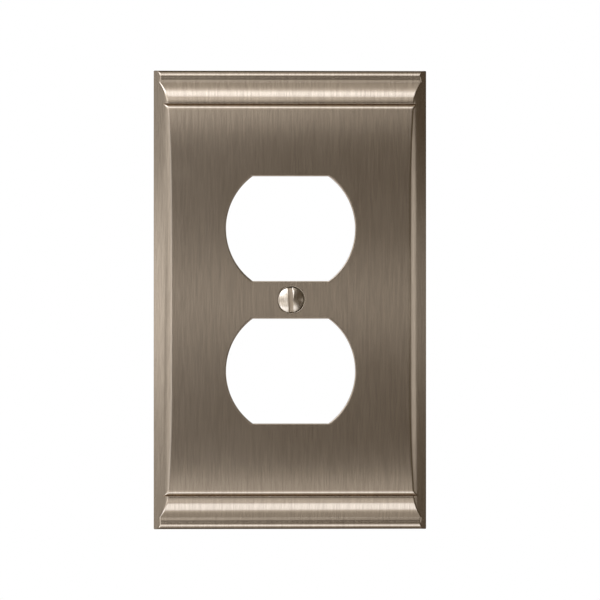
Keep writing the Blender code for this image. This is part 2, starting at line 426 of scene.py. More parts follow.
@dataclass(frozen=True)
class Lines:
    """Grid lines over the plate in one direction: where each lies, and its profile's height there."""

    at: np.ndarray
    height: np.ndarray

    @classmethod
    def over(cls, profile: np.ndarray, half: float, zones: list[Zone]) -> "Lines":
        """Spreads lines over a profile and mirrors them about the plate's middle.

        The first zone's lines crowd where the profile bends, and the other zones' are even.

        Args:
            profile: From an edge to the middle, finely stepped. It may start up an upright wall,
                and the lines start at the top of that wall.
            half: Half the plate's size in this direction.
            zones: The stretches from the edge inwards.

        Returns:
            The lines from one edge to the other.
        """
        foot = np.flatnonzero(profile[:, 0] <= profile[0, 0] + SEAM / 100)[-1]
        profile = profile[foot:]
        rim = profile[profile[:, 0] <= zones[0].end]
        parts = [crowded(rim, zones[0].steps)]
        for zone in zones[1:]:
            inset = np.linspace(parts[-1][-1, 0], zone.end, zone.steps + 1)[1:]
            parts.append(np.stack([inset, np.interp(inset, *profile.T)], axis=1))
        inset, height = np.concatenate(parts).T
        at = np.concatenate([inset - half, half - inset[-2::-1]])
        return cls(at, np.concatenate([height, height[-2::-1]]))

    def slope(self) -> np.ndarray:
        """Slope of the profile at each line."""
        return np.gradient(self.height, self.at)


@dataclass(frozen=True)
class Window:
    """A rectangle of grid cells, by its first and last line in each direction."""

    left: int
    right: int
    bottom: int
    top: int

    def loop(self, grid: np.ndarray) -> np.ndarray:
        """Values round the rectangle: along the bottom, up the right, back along the top and down.

        Args:
            grid: A value for each point of the grid.

        Returns:
            The values, with each corner's once.
        """
        return np.concatenate(
            [
                grid[self.left : self.right, self.bottom],
                grid[self.right, self.bottom : self.top],
                grid[self.right : self.left : -1, self.top],
                grid[self.left, self.top : self.bottom : -1],
            ]
        )

    def cut(self, hole: np.ndarray) -> None:
        """Marks the rectangle's cells as left out."""
        hole[self.left : self.right, self.bottom : self.top] = True


class Opening(Enum):
    """The two receptacle openings, as the side of the bridge that each is on."""

    UPPER = 1
    LOWER = -1


class Face(Enum):
    """Which face of the casting a grid lies on, as how much of it is left as cast."""

    FRONT = 0
    BACK = 1


# The cover plate


@dataclass
class CoverPlate:
    """The die-cast, plated shell: moulded ends, bevelled sides, two openings and a countersunk hole."""

    width: float
    height: float
    crown: float

    # Sides: upright rim, slope, rounded shoulder
    slope_run: float = 2.3 * MM
    slope_angle: float = math.radians(50)
    shoulder_radius: float = 6.03 * MM
    shoulder_end: float = math.radians(22)

    # Ends: bead, ovolo, groove, lip, bowed field
    bead_radius: float = 1.5 * MM
    bead_back_run: float = 1.7 * MM
    bead_back_angle: float = math.radians(12)
    ovolo_radius: float = 8.6 * MM
    ovolo_angle: float = math.radians(41)
    crest_land: float = 0.22 * MM
    crest_below_field: float = 0.1 * MM
    groove_depth: float = 1.05 * MM
    groove_fall: float = 0.08 * MM
    groove_floor: float = 0.02 * MM
    lip_radius: float = 1.5 * MM
    field_drop: float = 0.45 * MM
    field_power: int = 5
    field_points: int = 400

    # Hollow back
    side_wall: float = 2.0 * MM
    roof_wall: float = 2.1 * MM
    bead_wall: float = 1.95 * MM
    groove_wall: float = 1.2 * MM
    boss_standoff: float = 0.5 * MM
    boss_edge_clearance: float = 0.55 * MM

    # Openings and screw hole
    opening_radius: float = 17.67 * MM
    opening_flats: float = 28.6 * MM
    bridge: float = 10.3 * MM
    countersink_radius: float = 3.68 * MM
    countersink_angle: float = math.radians(82)
    countersink_drift: tuple[float, float] = (0.2 * MM, 0.07 * MM)
    hole_radius: float = 1.9526 * MM

    # How far casting, buffing and plating round what would be sharp
    corner_radius: float = 0.25 * MM
    cavity_corner_radius: float = 1.0 * MM
    profile_ease: float = 0.22 * MM
    cast_fillet: float = 0.9 * MM
    end_ease: float = 0.18 * MM
    mitre_ease: float = 0.25 * MM
    flattest_mitre: float = 0.05
    steepest_mitre: float = 1.6
    sharp_angle: float = math.radians(40)
    opening_edge: float = 0.2 * MM
    countersink_edge: float = 0.04 * MM
    rim_edge: float = 0.22 * MM
    back_edge: float = 0.15 * MM

    # Grid: how far each stretch of lines reaches, and how many steps it takes
    side_zone: float = 6.2 * MM
    end_zone: float = 11.1 * MM
    cavity_end_zone: float = 13.0 * MM
    opening_margin: float = 1.8 * MM
    screw_square: float = 4.85 * MM
    side_steps: int = 38
    end_steps: int = 88
    field_steps: int = 10
    flank_steps: int = 6
    chord_steps: int = 10
    arc_steps: int = 40
    screw_steps: int = 8

    @classmethod
    def from_frame(cls) -> "CoverPlate":
        """Takes the overall size from the CAD plate."""
        low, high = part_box("cover_plate")
        return cls(width=high.x - low.x, height=high.z - low.z, crown=-low.y)

    def field_height(self) -> float:
        """Height of the field where it meets the grooves."""
        return self.crown - self.field_drop

    def slope_rise(self) -> float:
        """Height that the sides' slope climbs."""
        return self.slope_run * math.tan(self.slope_angle)

    def rim_height(self) -> float:
        """Height of the sides' upright rim, which leaves room for the slope and the shoulder."""
        shoulder_rise = self.shoulder_radius * (math.cos(self.shoulder_end) - math.cos(self.slope_angle))
        return self.crown - self.slope_rise() - shoulder_rise

    def side_profile(self) -> np.ndarray:
        """A side: up the rim, up the slope, round the shoulder, and on at the shoulder's end angle.

        Returns:
            The eased profile, from the edge to the plate's middle.
        """
        rim = self.rim_height()
        upright = math.pi / 2
        centre = (
            self.slope_run + self.shoulder_radius * math.sin(self.slope_angle),
            rim + self.slope_rise() - self.shoulder_radius * math.cos(self.slope_angle),
        )
        shoulder_ends = (upright + self.slope_angle, upright + self.shoulder_end)
        shoulder = arc(centre, self.shoulder_radius, *shoulder_ends)
        rest = self.width / 2 - shoulder[-1, 0]
        beyond = shoulder[-1] + rest * np.array([1, math.tan(self.shoulder_end)])
        return eased(np.vstack([(0, 0), (0, rim), shoulder, beyond]), self.profile_ease)

    def bead_height(self) -> float:
        """Works out the bead's crest, from which the ovolo rises to just below the field.

        Returns:
            The crest's height.
        """
        ovolo_rise = self.ovolo_radius * (1 - math.cos(self.ovolo_angle))
        bead_fall = self.bead_back_run * math.tan(self.bead_back_angle / 2)
        return self.field_height() - self.crest_below_field - ovolo_rise + bead_fall

    def end_profile(self) -> np.ndarray:
        """An end: quarter-round bead, its shallow back, convex ovolo, groove, lip, and the bowed field.

        The lip's arc starts at the groove's floor, part of the way round from upright. The field
        falls from the crown by its drop times the share of the way out to the lip, raised to the
        field's power.

        Returns:
            The eased profile, from the edge to the plate's middle.
        """
        upright = math.pi / 2
        bead = self.bead_height()
        front = arc((self.bead_radius, bead - self.bead_radius), self.bead_radius, math.pi, upright)
        back_radius = self.bead_back_run / math.sin(self.bead_back_angle)
        back_end = upright - self.bead_back_angle
        back = arc((self.bead_radius, bead - back_radius), back_radius, upright, back_end)
        lean_in = np.array([math.sin(self.ovolo_angle), -math.cos(self.ovolo_angle)])
        centre = back[-1] + self.ovolo_radius * lean_in
        ovolo = arc(tuple(centre), self.ovolo_radius, upright + self.ovolo_angle, upright)
        land = ovolo[-1] + (self.crest_land, 0)
        floor = np.array([land[0] + self.groove_fall, self.field_height() - self.groove_depth])
        floor_end = floor + (self.groove_floor, 0)
        lip_foot = math.asin(1 - self.groove_depth / self.lip_radius)
        field_start = floor_end[0] + self.lip_radius * math.cos(lip_foot)
        reach = self.height / 2 - field_start
        first_slope = math.atan(self.field_power * self.field_drop / reach)
        lip_centre = (field_start, self.field_height() - self.lip_radius)
        lip = arc(lip_centre, self.lip_radius, math.pi - lip_foot, upright + first_slope)
        outward = np.linspace(1, 0, self.field_points)[1:]
        fall = self.field_drop * outward**self.field_power
        field = np.stack([self.height / 2 - reach * outward, self.crown - fall], axis=1)
        whole = np.vstack([(0, 0), front, back[1:], ovolo[1:], land, floor, floor_end, lip, field])
        return eased(whole, self.end_ease)

    def cavity_side_profile(self) -> np.ndarray:
        """The hollow's side: up the inner wall, then parallel to the slope outside, up past the roof.

        Returns:
            The eased profile, from the edge to the plate's middle.
        """
        start = self.rim_height() + self.side_wall * (
            math.tan(self.slope_angle) - 1 / math.cos(self.slope_angle)
        )
        run = self.width / 2 - self.side_wall
        top = (self.width / 2, start + run * math.tan(self.slope_angle))
        return eased(np.array([(self.side_wall, 0), (self.side_wall, start), top]), self.cast_fillet)

    def cavity_end_profile(self) -> np.ndarray:
        """The hollow's end: inner wall, a step under the bead, a slope under the ovolo, and the roof.

        Returns:
            The eased profile, from the edge to the plate's middle.
        """
        step = self.bead_height() - self.bead_wall
        step_end = self.bead_radius + self.bead_back_run + self.bead_wall / 2
        crest = self.bead_radius + self.bead_back_run + self.ovolo_radius * math.sin(self.ovolo_angle)
        field_start = crest + self.crest_land + self.groove_fall + self.groove_floor + self.lip_radius
        under = self.field_height() - self.groove_depth - self.groove_wall
        roof = self.crown - self.roof_wall
        wall = self.side_wall
        corners = [(wall, 0), (wall, step), (step_end, step), (crest, under), (field_start, under)]
        corners += [(field_start + self.roof_wall, roof), (self.height / 2, roof)]
        return eased(np.array(corners), self.cast_fillet)

    def zones(self, edge: Zone, half: float, middle_steps: list[int], window: float) -> list[Zone]:
        """Stretches of grid lines from an edge to the plate's middle.

        Args:
            edge: The stretch whose lines crowd at the bends.
            half: Half the plate's size in this direction.
            middle_steps: Steps up to the openings' window, past it, and over the screw's square.
            window: Distance of the openings' window from the middle.

        Returns:
            The four stretches.
        """
        ends = [half - window, half - self.screw_square, half]
        return [edge, *[Zone(end, steps) for end, steps in zip(ends, middle_steps)]]

    def lines(self, face: Face) -> tuple[Lines, Lines]:
        """Grid lines across and up one face, the same number on both faces.

        Args:
            face: Front or back.

        Returns:
            Lines across, and lines up.
        """
        front = face is Face.FRONT
        side = self.side_profile() if front else self.cavity_side_profile()
        end = self.end_profile() if front else self.cavity_end_profile()
        across_window = self.opening_radius + self.opening_margin
        up_window = self.bridge / 2 + self.opening_flats + self.opening_margin
        side_edge = Zone(self.side_zone, self.side_steps)
        end_edge = Zone(self.end_zone if front else self.cavity_end_zone, self.end_steps)
        across_steps = [self.flank_steps, self.chord_steps, self.screw_steps]
        up_steps = [self.field_steps, self.arc_steps, self.screw_steps]
        across = self.zones(side_edge, self.width / 2, across_steps, across_window)
        up = self.zones(end_edge, self.height / 2, up_steps, up_window)
        return Lines.over(side, self.width / 2, across), Lines.over(end, self.height / 2, up)

    def face_grid(self, face: Face) -> np.ndarray:
        """One face of the plate over its grid lines.

        The height is the smaller of the side's profile and the end's profile, which meet in a mitre.
        Their difference climbs at the root of the sum of their squared slopes, so a band of the
        mitre's ease on each side of the mitre spans that slope times the ease in height. Within
        it, a quarter of the span times the square of how close the two heights are is taken off.
        The slope is held between the flattest and the steepest, so the band is never lost.

        Args:
            face: Front or back.

        Returns:
            Points as (lines across, lines up, 5).
        """
        across, up = self.lines(face)
        front = face is Face.FRONT
        side, end = across.height[:, None], up.height[None, :]
        slope = np.hypot(across.slope()[:, None], up.slope()[None, :])
        ease = self.mitre_ease if front else self.cast_fillet
        span = np.clip(slope, self.flattest_mitre, self.steepest_mitre) * ease
        near = np.clip(1 - np.abs(side - end) / span, 0, 1)
        height = np.minimum(side, end) - near**2 * span / 4
        x, z = np.meshgrid(across.at, up.at, indexing="ij")
        radius = self.corner_radius if front else self.cavity_corner_radius
        x, z = self.round_corners(x, z, across.at[-1], up.at[-1], radius)
        return as_points(x, z, height, near if front else 0, face.value)

    def round_corners(
        self, x: np.ndarray, z: np.ndarray, half_width: float, half_height: float, radius: float
    ) -> tuple[np.ndarray, np.ndarray]:
        """Draws the square at each corner of a rectangle in to a quarter disc.

        Inside that square, with a and b the shares of the way out to its two edges, a becomes
        a times the root of (1 - b squared / 2), and b becomes b times the root of (1 - a squared / 2).

        Args:
            x: Place across.
            z: Place up.
            half_width: Half the rectangle's width.
            half_height: Half its height.
            radius: The corner's radius.

        Returns:
            The new places across and up.
        """
        a = np.clip((np.abs(x) - half_width) / radius + 1, 0, 1)
        b = np.clip((np.abs(z) - half_height) / radius + 1, 0, 1)
        drawn_x = x - np.sign(x) * radius * a * (1 - np.sqrt(1 - b**2 / 2))
        drawn_z = z - np.sign(z) * radius * b * (1 - np.sqrt(1 - a**2 / 2))
        return drawn_x, drawn_z

    def windows(self) -> dict[str, Window]:
        """The grid rectangles that hold the two openings, the screw hole, and the whole plate.

        Returns:
            The rectangles by name.
        """
        last_x = 2 * (self.side_steps + self.flank_steps + self.chord_steps + self.screw_steps)
        last_z = 2 * (self.end_steps + self.field_steps + self.arc_steps + self.screw_steps)
        left = self.side_steps + self.flank_steps
        inner = left + self.chord_steps
        bottom = self.end_steps + self.field_steps
        bridge = bottom + self.arc_steps
        return {
            "whole": Window(0, last_x, 0, last_z),
            "screw": Window(inner, last_x - inner, bridge, last_z - bridge),
            Opening.LOWER.name: Window(left, last_x - left, bottom, bridge),
            Opening.UPPER.name: Window(left, last_x - left, last_z - bridge, last_z - bottom),
        }

    def field_at(self, z: np.ndarray) -> np.ndarray:
        """Height of the field at a place up the plate, read off the eased end profile."""
        return np.interp(self.height / 2 - np.abs(z), *self.end_profile().T)

    def opening_outline(self, loop: np.ndarray, centre: float, outset: float) -> np.ndarray:
        """An opening's outline, one point for each point round its window.

        With a and b the place round the window from -1 to 1 across and up, the flats are straight in
        a, and the arcs turn through b times half the arc.

        Args:
            loop: Points round the window.
            centre: Place of the opening's centre, up the plate.
            outset: How far outside the opening itself the outline lies.

        Returns:
            Places across and up as (n, 2).
        """
        radius = self.opening_radius + outset
        flat = self.opening_flats / 2 + outset
        x, z = loop[:, 0], loop[:, 2]
        a = x / np.abs(x).max()
        b = 2 * (z - z.min()) / np.ptp(z) - 1
        half_arc = math.asin(flat / radius)
        on_arc = np.abs(a) > 1 - 1e-9
        across = np.where(on_arc, a * radius * np.cos(b * half_arc), a * radius * math.cos(half_arc))
        up = np.where(on_arc, radius * np.sin(b * half_arc), b * flat)
        return np.stack([across, centre + up], axis=1)

    def opening_band(self, opening: Opening, front: np.ndarray, back: np.ndarray) -> np.ndarray:
        """The surface from the front round an opening, over its eased edge, through to the back.

        Each row is the opening's outline at one outset and height. The first and last rows lie on
        the two grids, and the rows between the front grid and the edge slide straight from one to
        the other.

        Args:
            opening: Upper or lower.
            front: Points of the front round the window.
            back: Points of the back round the window.

        Returns:
            Points as (rows, n, 5).
        """
        centre = opening.value * (self.bridge + self.opening_flats) / 2
        edge = self.opening_edge
        roof = self.crown - self.roof_wall
        rows = [front]
        outer = front[:, [0, 2]]
        near = self.opening_outline(front, centre, edge)
        for share in (0.25, 0.5, 0.75, 0.92, 1):
            x, z = (outer + share * (near - outer)).T
            rows.append(as_points(x, z, self.field_at(z)))
        top = self.field_at(near[:, 1])
        for turn in np.radians([18, 36, 54, 72, 90]):
            x, z = self.opening_outline(front, centre, edge * (1 - math.sin(turn))).T
            rows.append(as_points(x, z, top - edge * (1 - math.cos(turn)), math.sin(2 * turn), 0))
        x, z = self.opening_outline(front, centre, 0).T
        for share in (0.3, 0.7, 1):
            height = (top - edge) * (1 - share) + (roof + self.back_edge) * share
            rows.append(as_points(x, z, height, 0, share))
        far = self.opening_outline(front, centre, self.back_edge)
        for turn in np.radians([30, 60, 90]):
            x, z = self.opening_outline(front, centre, self.back_edge * (1 - math.cos(turn))).T
            rows.append(as_points(x, z, roof + self.back_edge * (1 - math.sin(turn)), 0, 1))
        for share in (0.4, 0.75):
            x, z = (far + share * (back[:, [0, 2]] - far)).T
            rows.append(as_points(x, z, roof, 0, 1))
        rows.append(back)
        return np.stack(rows)

    def screw_band(self, front: np.ndarray, back: np.ndarray) -> np.ndarray:
        """The surface from the front down the countersink, through the hole, and out over the boss.

        Each row is a circle at one radius and height. The countersink was run in a little off the
        hole's centre, so its circles drift, less and less towards the hole.

        Args:
            front: Points of the front round the screw's square.
            back: Points of the back round it.

        Returns:
            Points as (rows, n, 5).
        """
        edge, lip = self.countersink_edge, self.back_edge
        roof = self.crown - self.roof_wall
        boss = roof - self.boss_standoff
        boss_radius = self.bridge / 2 - self.boss_edge_clearance
        steepness = math.tan(self.countersink_angle / 2)
        mouth = self.countersink_radius
        bottom = self.crown - (mouth - self.hole_radius) / steepness
        angle = np.arctan2(front[:, 2], front[:, 0])
        rows = [front]
        outer = front[:, [0, 2]]
        drift = np.array(self.countersink_drift)
        ring = np.stack([np.cos(angle), np.sin(angle)], axis=1)
        for share in (0.3, 0.6, 0.85, 1):
            x, z = (outer + share * (ring * (mouth + edge) + drift - outer)).T
            rows.append(as_points(x, z, self.field_at(z)))
        # The cone's rows take the as-cast share, which paints the back's darker colour into the
        # countersink as shade for the gap round the screw's head
        cone = [
            (mouth + 0.4 * edge, self.crown - 0.15 * edge, 1, 0, 0),
            (mouth, self.crown - 0.5 * edge, 1, 0, 0.9),
            (mouth - 0.6 * edge, self.crown - edge, 1, 0, 1),
            ((mouth + self.hole_radius) / 2, (self.crown + bottom) / 2, 0.5, 0, 1),
            (self.hole_radius, bottom, 0, 0, 1),
            (self.hole_radius, (bottom + boss) / 2, 0, 0, 1),
            (self.hole_radius, boss + lip, 0, 0, 1),
            (self.hole_radius + lip, boss, 0, 0, 1),
            ((self.hole_radius + boss_radius) / 2, boss, 0, 0, 1),
            (boss_radius - lip, boss, 0, 0, 1),
            (boss_radius, boss + lip, 0, 0, 1),
            (boss_radius, roof - lip / 2, 0, 0, 1),
            (boss_radius + lip / 2, roof, 0, 0, 1),
        ]
        for radius, height, share, worn, cast in cone:
            x, z = (ring * radius + drift * share).T
            rows.append(as_points(x, z, height, worn, cast))
        rows.append(back)
        return np.stack(rows)

    def rim_band(self, front: np.ndarray, back: np.ndarray) -> np.ndarray:
        """The surface down the outside, under the rim, and up the inner wall.

        Each row is the outline of the front or of the hollow, moved sideways along its own normal,
        at one height. The normals are square to the run from each point's last neighbour to its next.

        Args:
            front: Points of the front round the plate.
            back: Points of the hollow round the plate.

        Returns:
            Points as (rows, n, 5).
        """
        rows = [front]
        edge, lip = self.rim_edge, self.back_edge
        outline, inline = front[:, [0, 2]], back[:, [0, 2]]
        out_normal, in_normal = [self.outward(line) for line in (outline, inline)]
        top, hollow_top = -front[:, 1], -back[:, 1]
        for share in (0.35, 0.7, 1):
            rows.append(as_points(*outline.T, top * (1 - share) + edge * share))
        for turn in np.radians([30, 60, 90]):
            x, z = (outline - out_normal * edge * (1 - math.cos(turn))).T
            rows.append(as_points(x, z, edge * (1 - math.sin(turn)), math.sin(2 * turn), 0.3))
        for turn in np.radians([0, 45, 90]):
            x, z = (inline + in_normal * lip * (1 - math.sin(turn))).T
            rows.append(as_points(x, z, lip * (1 - math.cos(turn)), 0, 1))
        rows.append(as_points(*inline.T, (lip + hollow_top) / 2, 0, 1))
        rows.append(back)
        return np.stack(rows)

    def outward(self, outline: np.ndarray) -> np.ndarray:
        """Unit normals of an outline that runs anticlockwise.

        Args:
            outline: Places across and up as (n, 2).

        Returns:
            The normals as (n, 2).
        """
        run = np.roll(outline, -1, axis=0) - np.roll(outline, 1, axis=0)
        normal = np.stack([run[:, 1], -run[:, 0]], axis=1)
        return normal / np.linalg.norm(normal, axis=1, keepdims=True)

    def build(self) -> bpy.types.Object:
        """Sews the two faces and the bands between them into the plate.

        Returns:
            The plate's object.
        """
        front, back = self.face_grid(Face.FRONT), self.face_grid(Face.BACK)
        windows = self.windows()
        hole = np.zeros((front.shape[0] - 1, front.shape[1] - 1), bool)
        for name in ("screw", Opening.LOWER.name, Opening.UPPER.name):
            windows[name].cut(hole)
        skin = Skin()
        skin.add(front, hole)
        skin.add(back, hole)
        for opening in Opening:
            window = windows[opening.name]
            skin.add(self.opening_band(opening, window.loop(front), window.loop(back)), closed=True)
        skin.add(self.screw_band(windows["screw"].loop(front), windows["screw"].loop(back)), closed=True)
        skin.add(self.rim_band(windows["whole"].loop(front), windows["whole"].loop(back)), closed=True)
        return skin.sew("plate_casting", self.sharp_angle)

    def dress(self, piece: bpy.types.Object) -> None:
        """Gives the plate its brushed finish and its place among the CAD bodies.

        Args:
            piece: The plate's object.
        """
        piece.data.materials.append(BrushedSatinNickel().material())
        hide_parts("cover_plate")
        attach(piece, "plate")


# The screw


@dataclass
class MountingScrew:
    """The slotted oval-head 6-32 machine screw, nickel plated, driven home in the plate."""

    crown: float
    dome_height: float
    tip: float

    head_radius: float = 3.45 * MM
    head_angle: float = math.radians(82)
    head_edge: float = 0.1 * MM
    rim_ease: float = 0.1 * MM
    slot_width: float = 1.1 * MM
    slot_depth: float = 1.25 * MM
    slot_lean: float = math.radians(4.3)
    slot_edge: float = 0.09 * MM
    slot_rounding: float = 0.8
    slot_wear: float = 0.34 * MM
    wear_reach: float = 2.6 * MM
    wear_arc: float = math.radians(108)
    neck_length: float = 0.9 * MM
    neck_fillet: float = 0.1 * MM
    pitch: float = 25.4 / 32 * MM
    major_radius: float = 1.7526 * MM
    depth_share: float = 0.54
    crest_share: float = 1 / 8
    root_share: float = 1 / 6
    flank_bow: float = 0.12
    runout_turns: float = 0.5
    tip_chamfer: float = 0.45 * MM
    sharp_angle: float = math.radians(34)

    # Grid: shares of the way from the slot's wall to the side, close together at the wall's worn
    # edge, then even, and shares of a pitch, with one at each of the crest's corners
    wall_shares: tuple[float, ...] = (0, 0.005, 0.011, 0.019, 0.03, 0.045, 0.062, 0.082)
    even_share: float = 0.11
    quadrant_steps: int = 20
    slot_steps: int = 6
    chord_steps: int = 40
    pitch_shares: tuple[float, ...] = (
        0, 0.083, 0.17, 0.26, 0.35, 0.4375, 0.5, 0.5625, 0.65, 0.74, 0.83, 0.917
    )

    @classmethod
    def from_frame(cls, crown: float) -> "MountingScrew":
        """Takes the dome's height and the tip's place from the CAD screw."""
        low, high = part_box("mounting_screw")
        return cls(crown=crown, dome_height=-low.y - crown, tip=-high.y)

    def core_radius(self) -> float:
        """Radius at the thread's root."""
        return self.major_radius - self.depth_share * self.pitch

    def dome(self, radius: np.ndarray) -> np.ndarray:
        """Height of the head's dome, a cap of a sphere, at a distance from the axis."""
        ball = (self.head_radius**2 + self.dome_height**2) / (2 * self.dome_height)
        return self.crown + self.dome_height - ball + np.sqrt(ball**2 - radius**2)

    def floor_height(self) -> float:
        """Height of the slot's floor."""
        return self.crown + self.dome_height - self.slot_depth

    def floor_reach(self) -> float:
        """Radius at which the slot's floor runs out through the head's cone."""
        fall = self.crown - self.head_edge - self.floor_height()
        return self.head_radius - fall * math.tan(self.head_angle / 2)

    def columns(self, radius: float, floor_radius: float) -> tuple[np.ndarray, np.ndarray]:
        """Places of the columns of points round the upper half of the head, from right to left.

        Outside the slot a column keeps its share of the angle between the slot's wall and the
        side, and inside it keeps its share of the slot's width, so the walls stay flat.

        Args:
            radius: Distance from the axis of the columns outside the slot.
            floor_radius: Distance of those inside it.

        Returns:
            Place across, and distance from the axis, of each column.
        """
        half = self.slot_width / 2
        share = np.concatenate([self.wall_shares, np.linspace(self.even_share, 1, self.quadrant_steps)])
        right = radius * np.cos((1 - share[::-1]) * math.acos(half / radius))
        inside = np.linspace(half, -half, self.slot_steps + 1)
        across = np.concatenate([right, inside, -right[::-1]])
        outer = np.full(len(right), radius)
        reach = np.concatenate([outer, np.full(len(inside), floor_radius), outer])
        return across, reach

    def in_slot(self, count: int) -> np.ndarray:
        """Which columns lie in the slot, its walls' feet among them.

        Args:
            count: How many columns there are, from right to left.

        Returns:
            True for those in the slot, as (count,).
        """
        first = self.quadrant_steps + len(self.wall_shares)
        number = np.arange(count)
        return (number >= first) & (number <= first + self.slot_steps)

    def ring(self, radius: float, height: float, floor_radius: float, floor_height: float) -> np.ndarray:
        """One closed row of points round the screw.

        Args:
            radius: Distance from the axis outside the slot.
            height: Height outside the slot.
            floor_radius: Distance inside the slot.
            floor_height: Height inside the slot.

        Returns:
            Points as (n, 5).
        """
        across, reach = self.columns(radius, floor_radius)
        up = np.sqrt(np.clip(reach**2 - across**2, 0, None))
        level = np.where(self.in_slot(len(across)), floor_height, height)
        upper = as_points(across, up, level)
        lower = as_points(across, -up, level)[::-1]
        return np.concatenate([upper, lower[1:-1]])

    def head_top(self, radius: float) -> np.ndarray:
        """The dome and the slot's floor and walls, as chords across the head.

        Each chord is one column's place across, run from the lower side of the head to the upper.
        Its height is the dome's outside the slot, rounded down beside the slot's walls, and the
        floor's inside it. The driver's blade bears on the right wall above the middle and on the
        left wall below it, and has worn those stretches back further.

        Args:
            radius: Where the dome ends and the eased rim begins.

        Returns:
            Points as (chords, places, 5).
        """
        across, reach = self.columns(radius, self.floor_reach())
        half_chord = np.sqrt(np.clip(reach**2 - across**2, 0, None))
        x = across[:, None]
        z = half_chord[:, None] * np.sin(np.linspace(-1, 1, self.chord_steps + 1) * math.pi / 2)
        worn = np.clip(np.sign(x) * z / self.wear_reach, 0, 1)
        edge = self.slot_edge + self.slot_wear * np.sin(worn * self.wear_arc)
        beside = np.clip(1 - (np.abs(x) - self.slot_width / 2) / edge, 0, 1)
        eased_down = edge * (1 - np.sqrt(1 - beside**2)) * self.slot_rounding
        inside = self.in_slot(len(across))[:, None]
        height = np.where(inside, self.floor_height(), self.dome(np.hypot(x, z)) - eased_down)
        return as_points(x, z, height, np.where(inside, 0, beside), inside)

    def thread_rows(self) -> np.ndarray:
        """The thread and its core as rows that climb one pitch for each turn.

        At each angle a row lies at its own number of pitches plus the angle's share of a turn. Its
        radius is the core's plus the depth times how far up the ridge's trapezoid it is, which
        fades to nothing over the run-out at both ends, where the rows are held back to the ends.

        Returns:
            Points as (rows, n + 1, 5), the last column closing onto the first one turn on.
        """
        low = self.tip + self.tip_chamfer
        high = self.neck_bottom()
        places = self.ring(self.floor_reach(), 0, self.floor_reach(), 0)
        angle = np.unwrap(np.arctan2(places[:, 2], places[:, 0]))
        angle = np.append(angle, angle[0] + math.tau)
        turns = math.ceil((high - low) / self.pitch) + 2
        number = (np.arange(-1, turns)[:, None] + np.array(self.pitch_shares)).ravel()[:, None]
        height = np.clip(low + self.pitch * (number + angle / math.tau), low, high)
        half_base = (1 - self.root_share) / 2
        half_crest = self.crest_share / 2
        ridge = np.clip((half_base - np.abs(number % 1 - 0.5)) / (half_base - half_crest), 0, 1)
        ridge = ridge + self.flank_bow * np.sin(math.tau * ridge) * (ridge - 1) * ridge
        runout = self.runout_turns * self.pitch
        fade = np.clip(np.minimum(height - low, high - height) / runout, 0, 1)
        radius = self.core_radius() + self.depth_share * self.pitch * ridge * fade
        return as_points(radius * np.cos(angle), radius * np.sin(angle), height, ridge * fade)

    def neck_bottom(self) -> float:
        """Height at which the plain neck under the head ends and the thread begins."""
        cone = (self.head_radius - self.core_radius()) / math.tan(self.head_angle / 2)
        return self.crown - self.head_edge - cone - self.neck_length

    def build(self) -> bpy.types.Object:
        """Sews the head, its underside, the thread and the tip into the screw.

        Returns:
            The screw's object, its slot leaning to the left at the top.
        """
        floor, reach, core = self.floor_height(), self.floor_reach(), self.core_radius()
        ease, edge = self.rim_ease, self.crown - self.head_edge
        inner = self.head_radius - ease
        skin = Skin()
        top = self.head_top(inner)
        skin.add(top)
        rim = [
            (self.head_radius - 0.3 * ease, self.crown + 0.2 * ease),
            (self.head_radius, self.crown - 0.3 * ease),
            (self.head_radius, edge + 0.2 * ease),
            (self.head_radius - 0.3 * ease, edge - 0.3 * ease),
            (reach, floor),
        ]
        chord_ends = np.concatenate([top[:, -1], top[-2:0:-1, 0]])
        skin.add(np.stack([chord_ends, *[self.ring(r, h, reach, floor) for r, h in rim]]), closed=True)

        directions = self.ring(reach, 0, reach, 0)[:, [0, 2]] / reach
        neck, fillet = self.neck_bottom() + self.neck_length, self.neck_fillet
        under = [
            (reach, floor),
            ((reach + core) / 2, (floor + neck) / 2),
            (core + 0.8 * fillet, neck + 0.5 * fillet),
            (core, neck - fillet),
            (core, self.neck_bottom()),
        ]
        end = [(core, self.tip + self.tip_chamfer), (core - self.tip_chamfer, self.tip), (0, self.tip)]
        for profile in (under, end):
            rows = [as_points(*(directions * radius).T, height) for radius, height in profile]
            skin.add(np.stack(rows), closed=True)
        skin.add(self.thread_rows())

        cosine, sine = math.cos(self.slot_lean), math.sin(self.slot_lean)
        for points in skin.points:
            x, z = points[:, 0].copy(), points[:, 2].copy()
            points[:, 0] = cosine * x - sine * z
            points[:, 2] = sine * x + cosine * z
        return skin.sew("oval_head_screw", self.sharp_angle)

    def dress(self, piece: bpy.types.Object) -> None:
        """Gives the screw its plated finish and its place among the CAD bodies.

        Args:
            piece: The screw's object.
        """
        piece.data.materials.append(PlatedSteel(lean=self.slot_lean).material())
        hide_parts("mounting_screw")
        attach(piece, "screw")


# The washer


